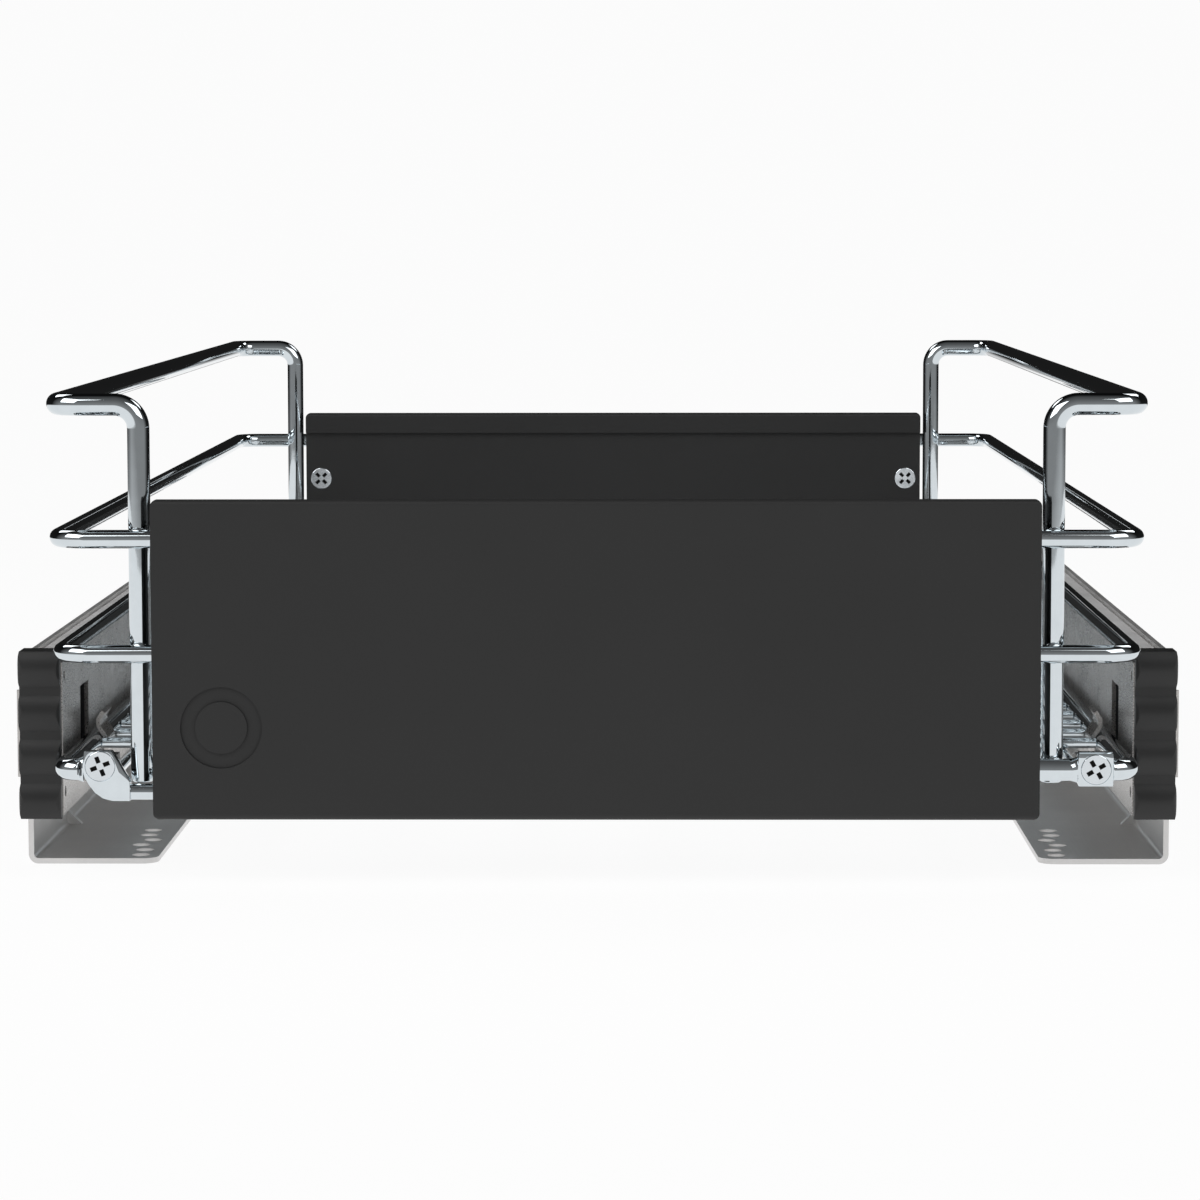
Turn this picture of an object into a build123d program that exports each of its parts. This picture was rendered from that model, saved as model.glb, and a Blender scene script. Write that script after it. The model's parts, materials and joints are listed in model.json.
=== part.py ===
from build123d import *
import os

# Pull-out wire basket on a pair of side-mounted full-extension ball slides.
# Millimetres. +Z up from the cabinet floor, the basket pulls out towards -Y,
# X = 0 is the middle of the cabinet. The part is modelled closed.

os.makedirs("parts", exist_ok=True)

# ---------------------------------------------------------------- driving dimensions
DEPTH = 506.0            # front panel face to the rear of the basket
FRONT = -DEPTH / 2       # Y of the front panel's face
REAR = DEPTH / 2

# wires
RAIL_D = 6.0             # top rails, uprights and base loop
LOOP_D = 5.0             # middle and low loops
GRID_D = 3.0             # floor grid
BAR_D = 4.4              # front bar under the floor grid
WELD = 0.15              # how far crossing wires sink into each other
GRID_WELD = 0.03

UPRIGHT_X = 123.1
UPRIGHT_FRONT = FRONT + 10.45
UPRIGHT_FOOT = 27.0
TOP_Z, TOP_X = 129.1, 145.8
MID_Z, MID_X = 93.2, 145.2
LOW_Z, LOW_X = 62.2, 144.6
BASE_Z, BASE_X = 31.0, 143.4
LOOP_CORNER = 8.0
TOP_CORNER = 7.0
TOP_BEND = 6.5

BASE_REAR = REAR - RAIL_D / 2
UPRIGHT_REAR = BASE_REAR - RAIL_D + WELD
BASE_FRONT = UPRIGHT_FRONT - RAIL_D + WELD
LOOP_FRONT = UPRIGHT_FRONT - (RAIL_D + LOOP_D) / 2 + WELD
LOOP_REAR = UPRIGHT_REAR + (RAIL_D + LOOP_D) / 2 - WELD

GRID_PITCH = 21.0
CROSS_Z = 31.3
LONG_Z = CROSS_Z - GRID_D + GRID_WELD
LONG_END = 2.75          # gap between a long wire's end and the base wire's middle
FIRST_FULL_CROSS = FRONT + 58.75
FULL_CROSS_COUNT = 21
SHORT_CROSS_COUNT = 2
LONG_X = [0, 38.0, 76.0, 114.0, 131.2]

# panels
PANEL_W = 238.0
PANEL_Z0, PANEL_Z1 = 17.8, 104.15
PANEL_T = 1.2
HEM_T, HEM_H = 3.0, 7.7
REAR_PANEL_FACE = FRONT + 493.9
REAR_PANEL_Z0 = 33.4
PANEL_CORNER = 2.0
PANEL_SCREW_X, PANEL_SCREW_Z = 113.25, 78.7
FRONT_SCREW_X = 104.0
RING_X, RING_Z = -100.5, 42.8          # plain debossed ring on the front panel
RING_R, RING_W, RING_DEPTH = 11.0, 4.0, 0.7
BOSS_D, BOSS_END = 6.4, FRONT + 3.4    # clinched collar behind each hidden screw of the front panel
CLIP_W, CLIP_Z0, CLIP_Z1 = 11.6, 58.5, 96.3
CLIP_SHIFT, CLIP_REAR = 0.2, 2.4       # rear clips: sideways offset, depth behind the loop wires
CLIP_SLOT_H = 4.6                      # snap slot, a little less than the loop wire
FRONT_CLIP_END = FRONT + 10.0
FIT = 0.05                             # gap between parts that touch

# base brackets
WALL_IN = 157.0          # inner face of the bracket wall
SHEET = 1.5
WALL_TOP = 59.2
FLANGE_X = 122.7
BRACKET_Y0, BRACKET_Y1 = FRONT + 38.0, FRONT + 490.0
FLOOR_HOLE_R = 2.5
FLOOR_HOLE_X = [128.0, 128.0, 130.2, 128.0, 130.2, 130.2]
FLOOR_HOLE_START, FLOOR_HOLE_PITCH = 6.6, 9.24
FLANGE_CORNER, BRACKET_BEND = 4.5, 2.0
GUSSET, GUSSET_T = 4.5, 2.5
GUSSET_YS = [FRONT + 104.0, 0.0, REAR - 104.0]
RAIL_RIVET_YS = [FRONT + y for y in (70.0, 205.0, 340.0, 465.0)]
RAIL_RIVET_D = 5.0
RAIL_RIVET_HEAD = (4.0, 3.2, 0.6)      # base radius, top radius, height
HOLE_GAP = 0.1                         # added to a rivet's diameter for its hole

# slide: u is measured from the bracket wall towards the basket, v from the slide's middle
SLIDE_Z = 36.4
BALL_R, RACE_R = 1.6, 1.75
OUTER = dict(t=1.2, web=0.6, half=21.9, ball_u=5.0, y0=FRONT + 39.0, y1=FRONT + 489.0)
MIDDLE = dict(t=1.0, web=2.8, half=17.3, ball_u=5.6, y0=FRONT + 40.0, y1=FRONT + 484.0)
INNER_T, INNER_WEB, INNER_HALF, INNER_EDGE = 1.0, 8.5, 12.8, 4.4
INNER_Y0, INNER_Y1 = FRONT + 36.0, FRONT + 484.0
CAGE_T = 0.5
OUTER_CAGE = dict(web=1.75, half=19.55, edge=6.3, ball_u=5.0, y0=FRONT + 160.0, length=200.0)
INNER_CAGE = dict(web=3.85, half=15.05, edge=6.9, ball_u=5.6, y0=FRONT + 165.0, length=190.0)
BALLS_PER_ROW = 9
STOP_U0, STOP_U1, STOP_LENGTH, STOP_HALF = 1.25, 6.6, 4.2, 17.0

# carrier plates that the basket hooks into
PLATE_IN = 146.8
PLATE_T = 1.2
PLATE_Z0, PLATE_Z1 = 15.4, 57.6
PLATE_Y0, PLATE_Y1 = FRONT + 26.0, FRONT + 488.0
PLATE_CORNER = 3.0
HOOK_Y = [FIRST_FULL_CROSS + GRID_PITCH * (n + 0.5) for n in (0, 9, 18)]
HOOK_W, WINDOW_W = 14.5, 16.8
WINDOW_Z0, WINDOW_Z1 = 27.8, 47.2
HOOK_STEM_X, HOOK_THROAT_Z = 139.7, 32.2     # stem beside the base wire, start of its lean
HOOK_CREST_X, HOOK_CREST_Z, HOOK_NECK_Z = 141.9, 35.6, 37.6
HOOK_TIP_X, HOOK_TIP_Z = 140.5, 39.7
NOSE_X, NOSE_Z0, NOSE_Z1 = 159.3, 26.0, 50.0
PLATE_RIVET_Z, PLATE_RIVET_D = 45.0, 4.0
PLATE_RIVET_YS = [FRONT + y for y in (130.0, 220.0, 310.0, 400.0, 470.0)]

# end caps
CAP_X0, CAP_X1 = 147.1, 158.8
CAP_Z0, CAP_Z1 = 14.5, 60.8
CAP_Y0, CAP_Y1 = FRONT + 23.0, FRONT + 34.0
CAP_LOBES, CAP_BULGE, CAP_SIDE_BULGE = 4, 1.5, 0.4
CAP_STRIP, CAP_ROUND, CAP_WALL = 2.3, 1.5, 1.8      # flat between lobes, front edges, wall
PEG_Y, PEG_ZS, PEG_D = FRONT + 30.0, [21.5, 53.6], 2.6

# front corners of the basket: base wire ends, pad, lug and their screws
LUG_LEFT = -138.5        # where the left end of the base wire meets its lug
BASE_END_X = -106.0      # other end of the base wire, behind the front panel
LEFT_CORNER = 4.8
FIX_R = 4.1              # head radius
FIX_RIGHT = (134.3, 31.3)
FIX_LEFT = (-133.6, 31.95)
SHANK_R = 1.75
HEAD_H = 2.2
RECESS_W, RECESS_L, RECESS_DEPTH = 1.1, 4.6, 1.2
PAD_SCREW_L, LUG_SCREW_L, FRONT_SCREW_L, REAR_SCREW_L = 12.0, 11.0, 8.6, 8.0
PAD_SCREW_TURN, LUG_SCREW_TURN, PANEL_SCREW_TURNS = 30, 21, (20, 35)
PAD_HALF_W, PAD_HALF_H = 4.55, 4.65
PAD_Y0, PAD_Y1 = FRONT + 2.0, FRONT + 6.2
PAD_CORNER = 0.8
PAD_FLARE_R, PAD_FLARE_L = 3.5, 2.6
LUG_Y0, LUG_Y1 = FRONT + 3.2, FRONT + 6.4
LUG_TOP_Z, LUG_BULGE = 36.1, (-135.9, 25.4)
LUG_TOP_X0, LUG_TOP_X1, LUG_HEEL_X, LUG_HEEL_Z, LUG_FOOT_X = -137.9, -130.4, -125.5, 27.8, -130.3
BAR_LEFT, BAR_RIGHT = -127.0, 112.0

# threaded blocks that sit over the outermost grid wires behind the lug and the pad
LOCK_X0, LOCK_X1 = 130.1, 138.0
LOCK_Z0, LOCK_Z1 = 27.6, 34.0
LOCK_Y0, LOCK_Y1 = FRONT + 6.45, FRONT + 18.0


# ---------------------------------------------------------------- helpers
def block(x0, x1, y0, y1, z0, z1):
    return Pos((x0 + x1) / 2, (y0 + y1) / 2, (z0 + z1) / 2) * Box(x1 - x0, y1 - y0, z1 - z0)


def along_y(profile, y0, y1):
    """Extrude an X-Z profile from y0 to y1."""
    return extrude(Plane.XZ.offset(-y1) * profile, y1 - y0)


def rod_x(x0, x1, y, z, d):
    return Pos((x0 + x1) / 2, y, z) * Rot(0, 90, 0) * Cylinder(d / 2, x1 - x0)


def rod_y(x, y0, y1, z, d):
    return Pos(x, (y0 + y1) / 2, z) * Rot(90, 0, 0) * Cylinder(d / 2, y1 - y0)


def wire(points, radii, d):
    """Round wire bent along a polyline, one bend radius for each inner point."""
    path = FilletPolyline(*points, radius=radii)
    section = Plane(origin=path @ 0, z_dir=path % 0) * Circle(d / 2)
    return sweep(section, path=path)


def closed_loop(half_x, y0, y1, z, corner, d):
    """Closed rectangular wire loop lying flat."""
    width, length = 2 * half_x, y1 - y0
    path = Pos(0, (y0 + y1) / 2, z) * RectangleRounded(width, length, corner).wire()
    section = Plane(origin=path @ 0, z_dir=path % 0) * Circle(d / 2)
    return sweep(section, path=path)


def left_of(solid):
    return mirror(solid, about=Plane.YZ)


def save(name, solid):
    solid.label = name
    export_step(solid, f"parts/{name}.step")


def save_pair(name, right):
    save(f"{name}_right", right)
    save(f"{name}_left", left_of(right))


def countersunk_screw(length):
    """Cross-recess countersunk screw, head face at z = 0, pointing down -Z."""
    head = Pos(0, 0, -HEAD_H / 2) * Cone(SHANK_R, FIX_R, HEAD_H)
    shank = Pos(0, 0, -length / 2) * Cylinder(SHANK_R, length)
    recess = Box(RECESS_W, RECESS_L, 2 * RECESS_DEPTH) + Box(RECESS_L, RECESS_W, 2 * RECESS_DEPTH)
    return head + shank - recess


def countersink():
    """Hole that takes the head and shank of the screw above."""
    head = Pos(0, 0, -HEAD_H / 2) * Cone(SHANK_R + FIT, FIX_R + FIT, HEAD_H)
    return head + Cylinder(SHANK_R + FIT, 30)


def facing_front(x, y, z, turn=0.0):
    """Place a part whose face looks up so that it looks towards -Y."""
    return Pos(x, y, z) * Rot(90, 0, 0) * Rot(0, 0, turn)


def facing_rear(x, y, z, turn=0.0):
    return Pos(x, y, z) * Rot(-90, 0, 0) * Rot(0, 0, turn)


# ---------------------------------------------------------------- slide sections
def slide_profile(points, radii, thickness):
    """Roll-formed strip around a centre line given as (u, v) points."""
    path = FilletPolyline(*[(WALL_IN - u, SLIDE_Z + v) for u, v in points], radius=radii)
    return trace(path, thickness)


def race_channel(t, web, half, ball_u, y0, y1):
    """C section whose curled lips hold a row of balls."""
    curl = RACE_R + t / 2
    lip_u, lip_v = ball_u + curl, half - curl - 0.3
    points = [(lip_u, lip_v), (lip_u, half), (web, half),
              (web, -half), (lip_u, -half), (lip_u, -lip_v)]
    return along_y(slide_profile(points, [curl, 1.6, 1.6, curl], t), y0, y1)


def plain_channel(t, web, half, edge, bend, y0, y1):
    points = [(edge, half), (web, half), (web, -half), (edge, -half)]
    return along_y(slide_profile(points, [bend, bend], t), y0, y1)


def ball_places(cage):
    pitch = cage["length"] / BALLS_PER_ROW
    for row in (-1, 1):
        for n in range(BALLS_PER_ROW):
            yield Pos(WALL_IN - cage["ball_u"], cage["y0"] + pitch * (n + 0.5),
                      SLIDE_Z + row * cage["half"])


def ball_cage(cage):
    strip = plain_channel(CAGE_T, cage["web"], cage["half"], cage["edge"], 0.6,
                          cage["y0"], cage["y0"] + cage["length"])
    for place in ball_places(cage):
        strip -= place * Cylinder(BALL_R + 0.1, 2.0)
    return strip


def balls(cage):
    return Compound(children=[place * Sphere(BALL_R) for place in ball_places(cage)])


# ---------------------------------------------------------------- fixed side
def floor_holes():
    """Hole centres of one bracket, front group then its mirror image at the rear."""
    for n, x in enumerate(FLOOR_HOLE_X):
        step = FLOOR_HOLE_START + FLOOR_HOLE_PITCH * n
        yield x, BRACKET_Y0 + step
        yield x, BRACKET_Y1 - step


def bracket():
    outer = WALL_IN + SHEET
    path = FilletPolyline((FLANGE_X, SHEET / 2), (WALL_IN + SHEET / 2, SHEET / 2),
                          (WALL_IN + SHEET / 2, WALL_TOP), radius=BRACKET_BEND)
    body = along_y(trace(path, SHEET), BRACKET_Y0, BRACKET_Y1)
    corners = [e for e in body.edges().filter_by(Axis.Z)
               if e.center().X < FLANGE_X + 0.1 and e.length < 2 * SHEET]
    body = fillet(corners, FLANGE_CORNER)
    for x, y in floor_holes():
        body -= Pos(x, y, 0) * Cylinder(FLOOR_HOLE_R, 10)
    for y in RAIL_RIVET_YS:
        body -= rod_x(WALL_IN - 1, outer + 1, y, SLIDE_Z, RAIL_RIVET_D + HOLE_GAP)
    rib = Polyline((WALL_IN + 0.2, SHEET - 0.2), (WALL_IN - GUSSET, SHEET - 0.2),
                   (WALL_IN + 0.2, SHEET + GUSSET), close=True)
    for y in GUSSET_YS:
        body += along_y(make_face(rib), y - GUSSET_T / 2, y + GUSSET_T / 2)
    return body


def outer_rail():
    rail = race_channel(**OUTER)
    for y in RAIL_RIVET_YS:
        rail -= rod_x(WALL_IN - 3, WALL_IN + 1, y, SLIDE_Z, RAIL_RIVET_D + HOLE_GAP)
    return rail


def rail_rivets():
    inner_end, wall_out = WALL_IN - OUTER["t"], WALL_IN + SHEET
    head_h = RAIL_RIVET_HEAD[2]
    right = [rod_x(inner_end, wall_out, y, SLIDE_Z, RAIL_RIVET_D)
             + Pos(wall_out + head_h / 2, y, SLIDE_Z) * Rot(0, 90, 0) * Cone(*RAIL_RIVET_HEAD)
             for y in RAIL_RIVET_YS]
    return Compound(children=right + [left_of(r) for r in right])


def rear_stop():
    """Rubber stop in the rear end of the outer rail."""
    body = block(WALL_IN - STOP_U1, WALL_IN - STOP_U0, OUTER["y1"] - STOP_LENGTH, OUTER["y1"],
                 SLIDE_Z - STOP_HALF, SLIDE_Z + STOP_HALF)
    return fillet(body.edges().filter_by(Axis.Y), 1.0)


# ---------------------------------------------------------------- moving side: rails and plates
def window_cutter(x0, x1, grow=0.0):
    boxes = [block(x0, x1, y - WINDOW_W / 2 - grow, y + WINDOW_W / 2 + grow,
                   WINDOW_Z0 - grow, WINDOW_Z1 + grow) for y in HOOK_Y]
    return boxes[0] + boxes[1] + boxes[2]


def inner_rail():
    rail = plain_channel(INNER_T, INNER_WEB, INNER_HALF, INNER_EDGE, 1.2, INNER_Y0, INNER_Y1)
    web_x = WALL_IN - INNER_WEB
    rail -= window_cutter(web_x - 0.7, web_x + 0.7, 0.2)
    for y in PLATE_RIVET_YS:
        rail -= rod_x(web_x - 1, web_x + 1, y, PLATE_RIVET_Z, PLATE_RIVET_D + HOLE_GAP)
    return rail


def hook_profile():
    """Tongue lanced out of the plate: under the base wire, up beside it and over its shoulder."""
    floor_z = WINDOW_Z0 - PLATE_T / 2
    path = FilletPolyline((PLATE_IN + PLATE_T / 2, floor_z), (HOOK_STEM_X, floor_z),
                          (HOOK_STEM_X, HOOK_THROAT_Z), (HOOK_CREST_X, HOOK_CREST_Z),
                          (HOOK_CREST_X, HOOK_NECK_Z), (HOOK_TIP_X, HOOK_TIP_Z),
                          radius=[1.6, 3.0, 2.0, 1.6])
    return trace(path, PLATE_T)


def carrier():
    x1 = PLATE_IN + PLATE_T
    plate = block(PLATE_IN, x1, PLATE_Y0, PLATE_Y1, PLATE_Z0, PLATE_Z1)
    plate = fillet([e for e in plate.edges().filter_by(Axis.X)
                    if e.center().Y > 0], PLATE_CORNER)
    plate -= window_cutter(PLATE_IN - 1, x1 + 1)
    for y in HOOK_Y:
        plate += along_y(hook_profile(), y - HOOK_W / 2, y + HOOK_W / 2)
    plate += block(PLATE_IN, NOSE_X, PLATE_Y0, PLATE_Y0 + PLATE_T, NOSE_Z0, NOSE_Z1)
    for z in PEG_ZS:
        plate -= rod_x(PLATE_IN - 1, x1 + 1, PEG_Y, z, PEG_D + 0.4)
    for y in PLATE_RIVET_YS:
        plate -= rod_x(PLATE_IN - 1, x1 + 1, y, PLATE_RIVET_Z, PLATE_RIVET_D + HOLE_GAP)
    return plate


def carrier_rivets():
    """Flush rivets, level with both faces."""
    right = [rod_x(PLATE_IN, PLATE_IN + PLATE_T + INNER_T, y, PLATE_RIVET_Z, PLATE_RIVET_D)
             for y in PLATE_RIVET_YS]
    return Compound(children=right + [left_of(r) for r in right])


def lobed_edge(valley, bulge):
    """Edge from the foot to the top of the cap: arcs that bulge past valley, with short flats."""
    lobe = (CAP_Z1 - CAP_Z0 - (CAP_LOBES - 1) * CAP_STRIP) / CAP_LOBES
    edges = []
    for n in range(CAP_LOBES):
        low = CAP_Z0 + n * (lobe + CAP_STRIP)
        high = low + lobe
        edges.append(ThreePointArc((valley, low), (valley + bulge, (low + high) / 2), (valley, high)))
        if n < CAP_LOBES - 1:
            edges.append(Line((valley, high), (valley, high + CAP_STRIP)))
    return edges


def lobed_face(valley, bulge, back):
    edges = lobed_edge(valley, bulge)
    closing = Polyline((edges[-1] @ 1), (back, CAP_Z1), (back, CAP_Z0), (edges[0] @ 0))
    return make_face(edges + [closing])


def end_cap():
    """Ribbed plastic cap over the front end of the slide."""
    # profile in the (-Y, Z) plane, extruded along X
    side_plane = Plane(origin=(CAP_X0, 0, 0), x_dir=(0, -1, 0), z_dir=(-1, 0, 0))
    front_face = lobed_face(-CAP_Y0 - CAP_BULGE, CAP_BULGE, -CAP_Y1)
    body = extrude(side_plane * front_face, -(CAP_X1 - CAP_X0))
    side_face = lobed_face(CAP_X1 - CAP_SIDE_BULGE, CAP_SIDE_BULGE, CAP_X0 - 1)
    body &= along_y(side_face, CAP_Y0 - 1, CAP_Y1 + 1)
    plan = Pos((CAP_X0 + CAP_X1) / 2, CAP_Y1) * RectangleRounded(
        CAP_X1 - CAP_X0, 2 * (CAP_Y1 - CAP_Y0), CAP_ROUND)
    body &= extrude(Plane.XY.offset(CAP_Z0 - 1) * plan, CAP_Z1 - CAP_Z0 + 2)

    x_plate = PLATE_IN + PLATE_T + 2 * FIT
    nose_front, nose_back = PLATE_Y0 - FIT, PLATE_Y0 + PLATE_T + FIT
    body -= block(CAP_X0 - 1, x_plate, nose_front, CAP_Y1 + 1, CAP_Z0 - 1, CAP_Z1 + 1)
    body -= block(CAP_X0 - 1, CAP_X1 + 1, nose_front, nose_back,
                  NOSE_Z0 - 2 * FIT, NOSE_Z1 + 2 * FIT)
    body -= block(x_plate + CAP_WALL, CAP_X1 - CAP_WALL - CAP_SIDE_BULGE, nose_back + 1.2, CAP_Y1 + 1,
                  CAP_Z0 + CAP_WALL, CAP_Z1 - CAP_WALL)
    for z in PEG_ZS:
        body += rod_x(PLATE_IN + 0.2, x_plate + CAP_WALL, PEG_Y, z, PEG_D)
    return body


def lock_block(screw_x, screw_z):
    """Block behind a front screw, right-hand, stepped to sit over the outermost grid wire."""
    wire_side = LONG_X[-1] + GRID_D / 2 + 3 * FIT
    wire_top = LONG_Z + GRID_D / 2 + 2 * FIT
    body = block(LOCK_X0, LOCK_X1, LOCK_Y0, LOCK_Y1, LOCK_Z0, LOCK_Z1)
    body -= block(LOCK_X0 - 1, wire_side, LOCK_Y0 - 1, LOCK_Y1 + 1, LOCK_Z0 - 1, wire_top)
    return body - rod_y(screw_x, FRONT, LOCK_Y1 + 1, screw_z, 2 * (SHANK_R + FIT))


# ---------------------------------------------------------------- moving side: wire basket
def top_rail():
    """One bent wire: front upright, side rail and rear upright."""
    points = [(UPRIGHT_X, UPRIGHT_FRONT, UPRIGHT_FOOT), (UPRIGHT_X, UPRIGHT_FRONT, TOP_Z),
              (TOP_X, UPRIGHT_FRONT, TOP_Z), (TOP_X, UPRIGHT_REAR, TOP_Z),
              (UPRIGHT_X, UPRIGHT_REAR, TOP_Z), (UPRIGHT_X, UPRIGHT_REAR, UPRIGHT_FOOT)]
    return wire(points, [TOP_BEND, TOP_CORNER, TOP_CORNER, TOP_BEND], RAIL_D)


def base_loop():
    """Base wire, open behind the left half of the front panel, with the right fixing pad."""
    x_pad, z_pad = FIX_RIGHT
    points = [(LUG_LEFT, BASE_FRONT, BASE_Z), (-BASE_X, BASE_FRONT, BASE_Z),
              (-BASE_X, BASE_REAR, BASE_Z), (BASE_X, BASE_REAR, BASE_Z),
              (BASE_X, BASE_FRONT, BASE_Z), (BASE_END_X, BASE_FRONT, BASE_Z)]
    loop = wire(points, [LEFT_CORNER, LOOP_CORNER, LOOP_CORNER, LOOP_CORNER], RAIL_D)
    loop -= block(x_pad - PAD_HALF_W + FIT, x_pad + PAD_HALF_W - FIT, FRONT, FRONT + 12,
                  BASE_Z - 4, BASE_Z + 4)
    pad = block(x_pad - PAD_HALF_W, x_pad + PAD_HALF_W, PAD_Y0, PAD_Y1,
                z_pad - PAD_HALF_H, z_pad + PAD_HALF_H)
    pad = fillet(pad.edges().filter_by(Axis.Y), PAD_CORNER)
    flare_x = PAD_HALF_W + PAD_FLARE_L / 2 - 5 * FIT
    for side in (-1, 1):
        flare = Pos(x_pad + side * flare_x, BASE_FRONT, BASE_Z) * Rot(0, side * 90, 0)
        loop += flare * Cone(PAD_FLARE_R, RAIL_D / 2 - 0.4, PAD_FLARE_L)
    loop += pad
    return loop - facing_front(x_pad, PAD_Y0 - 0.01, z_pad) * countersink()


def front_bar():
    """Bar under the front of the floor grid, flattened into a lug for the left screw."""
    bar_z = LONG_Z - (GRID_D + BAR_D) / 2 + GRID_WELD
    bar = rod_x(BAR_LEFT, BAR_RIGHT, LUG_Y1, bar_z, BAR_D)
    foot = bar_z - BAR_D / 2
    outline = (Polyline((LUG_LEFT, BASE_Z), (LUG_TOP_X0, LUG_TOP_Z), (LUG_TOP_X1, LUG_TOP_Z),
                        (LUG_HEEL_X, LUG_HEEL_Z), (LUG_HEEL_X, foot), (LUG_FOOT_X, foot))
               + ThreePointArc((LUG_FOOT_X, foot), LUG_BULGE, (LUG_LEFT, BASE_Z)))
    lug = along_y(make_face(outline), LUG_Y0, LUG_Y1)
    x, z = FIX_LEFT
    return bar + lug - facing_front(x, LUG_Y0 - 0.01, z) * countersink()


def cross_wires():
    half = BASE_X - RAIL_D / 2 + GRID_WELD
    rods = [rod_x(-half, half, FIRST_FULL_CROSS + GRID_PITCH * n, CROSS_Z, GRID_D)
            for n in range(FULL_CROSS_COUNT)]
    short_half = LONG_X[3] + GRID_D
    rods += [rod_x(-short_half, short_half, FIRST_FULL_CROSS - GRID_PITCH * (n + 1),
                   CROSS_Z, GRID_D) for n in range(SHORT_CROSS_COUNT)]
    return Compound(children=rods)


def long_wires():
    y0, y1 = BASE_FRONT + LONG_END, BASE_REAR - LONG_END
    places = sorted({side * x for x in LONG_X for side in (-1, 1)})
    return Compound(children=[rod_y(x, y0, y1, LONG_Z, GRID_D) for x in places])


# ---------------------------------------------------------------- moving side: panels
def hemmed_panel(z0, z1):
    """Sheet panel with its top and bottom edges folded back, face at y = 0, hems at +Y."""
    low, high = z0 + PANEL_T / 2, z1 - PANEL_T / 2
    fold = (HEM_T - PANEL_T) / 2
    front_y, hem_y = PANEL_T / 2, HEM_T - PANEL_T / 2
    path = FilletPolyline((hem_y, z0 + HEM_H), (hem_y, low), (front_y, low),
                          (front_y, high), (hem_y, high), (hem_y, z1 - HEM_H),
                          radius=fold * 0.999)
    # profile in the (Y, Z) plane, extruded along X
    body = extrude(Plane.YZ.offset(-PANEL_W / 2) * trace(path, PANEL_T), PANEL_W)
    outline = Pos(0, (z0 + z1) / 2) * RectangleRounded(PANEL_W, z1 - z0, PANEL_CORNER)
    return body & along_y(outline, -1, HEM_T + 1)


def front_panel():
    panel = Pos(0, FRONT, 0) * hemmed_panel(PANEL_Z0, PANEL_Z1)
    ring = Cylinder(RING_R, 2 * RING_DEPTH) - Cylinder(RING_R - RING_W, 2 * RING_DEPTH)
    panel -= Pos(RING_X, FRONT, RING_Z) * Rot(90, 0, 0) * ring
    for side in (-1, 1):
        x = side * FRONT_SCREW_X
        panel += rod_y(x, FRONT + PANEL_T - 0.1, BOSS_END, PANEL_SCREW_Z, BOSS_D)
        panel -= rod_y(x, FRONT + PANEL_T, BOSS_END + 1, PANEL_SCREW_Z, 2 * (SHANK_R + FIT))
    return panel


def rear_panel():
    sheet = hemmed_panel(REAR_PANEL_Z0, PANEL_Z1)
    panel = Pos(0, REAR_PANEL_FACE + HEM_T, 0) * mirror(sheet, about=Plane.XZ)
    sheet_y = REAR_PANEL_FACE + HEM_T - PANEL_T
    for side in (-1, 1):
        place = facing_front(side * PANEL_SCREW_X, sheet_y - 0.01, PANEL_SCREW_Z)
        panel -= place * countersink()
    return panel


def clip_block(x, screw_x, y0, y1, loop_y, open_to):
    """Plastic clip that holds a panel to the middle and low loops."""
    clip = block(x - CLIP_W / 2, x + CLIP_W / 2, y0, y1, CLIP_Z0, CLIP_Z1)
    clip = fillet(clip.edges().filter_by(Axis.Y), 1.0)
    slot_y0, slot_y1 = sorted((loop_y, open_to))
    for z in (LOW_Z, MID_Z):
        clip -= rod_x(x - CLIP_W, x + CLIP_W, loop_y, z, LOOP_D + 2 * FIT)
        clip -= block(x - CLIP_W, x + CLIP_W, slot_y0, slot_y1,
                      z - CLIP_SLOT_H / 2, z + CLIP_SLOT_H / 2)
    return clip - rod_y(screw_x, y0 - 1, y1 + 1, PANEL_SCREW_Z, 2 * (SHANK_R + FIT))


def front_clips():
    clips = []
    for side in (-1, 1):
        x = side * FRONT_SCREW_X
        clip = clip_block(x, x, FRONT + PANEL_T + FIT, FRONT_CLIP_END, LOOP_FRONT, FRONT)
        clip -= rod_y(x, FRONT, BOSS_END + 2 * FIT, PANEL_SCREW_Z, BOSS_D + 0.2)
        clip -= facing_rear(x, FRONT_CLIP_END + 0.01, PANEL_SCREW_Z) * countersink()
        clips.append(clip)
    return Compound(children=clips)


def rear_clips():
    sheet_y, y0 = REAR_PANEL_FACE + HEM_T - PANEL_T, REAR_PANEL_FACE + HEM_T + FIT
    clips = []
    for side in (-1, 1):
        x = side * PANEL_SCREW_X
        clip = clip_block(x - side * CLIP_SHIFT, x, y0, LOOP_REAR + CLIP_REAR, LOOP_REAR, REAR)
        clips.append(clip - facing_front(x, sheet_y - 0.01, PANEL_SCREW_Z) * countersink())
    return Compound(children=clips)


def front_panel_screws():
    return Compound(children=[facing_rear(side * FRONT_SCREW_X, FRONT_CLIP_END, PANEL_SCREW_Z)
                              * countersunk_screw(FRONT_SCREW_L) for side in (-1, 1)])


def rear_panel_screws():
    sheet_y = REAR_PANEL_FACE + HEM_T - PANEL_T
    return Compound(children=[facing_front(side * PANEL_SCREW_X, sheet_y, PANEL_SCREW_Z, turn)
                              * countersunk_screw(REAR_SCREW_L)
                              for side, turn in zip((-1, 1), PANEL_SCREW_TURNS)])


def basket_screws():
    right = facing_front(FIX_RIGHT[0], PAD_Y0, FIX_RIGHT[1], PAD_SCREW_TURN)
    left = facing_front(FIX_LEFT[0], LUG_Y0, FIX_LEFT[1], LUG_SCREW_TURN)
    return Compound(children=[right * countersunk_screw(PAD_SCREW_L),
                              left * countersunk_screw(LUG_SCREW_L)])


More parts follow.
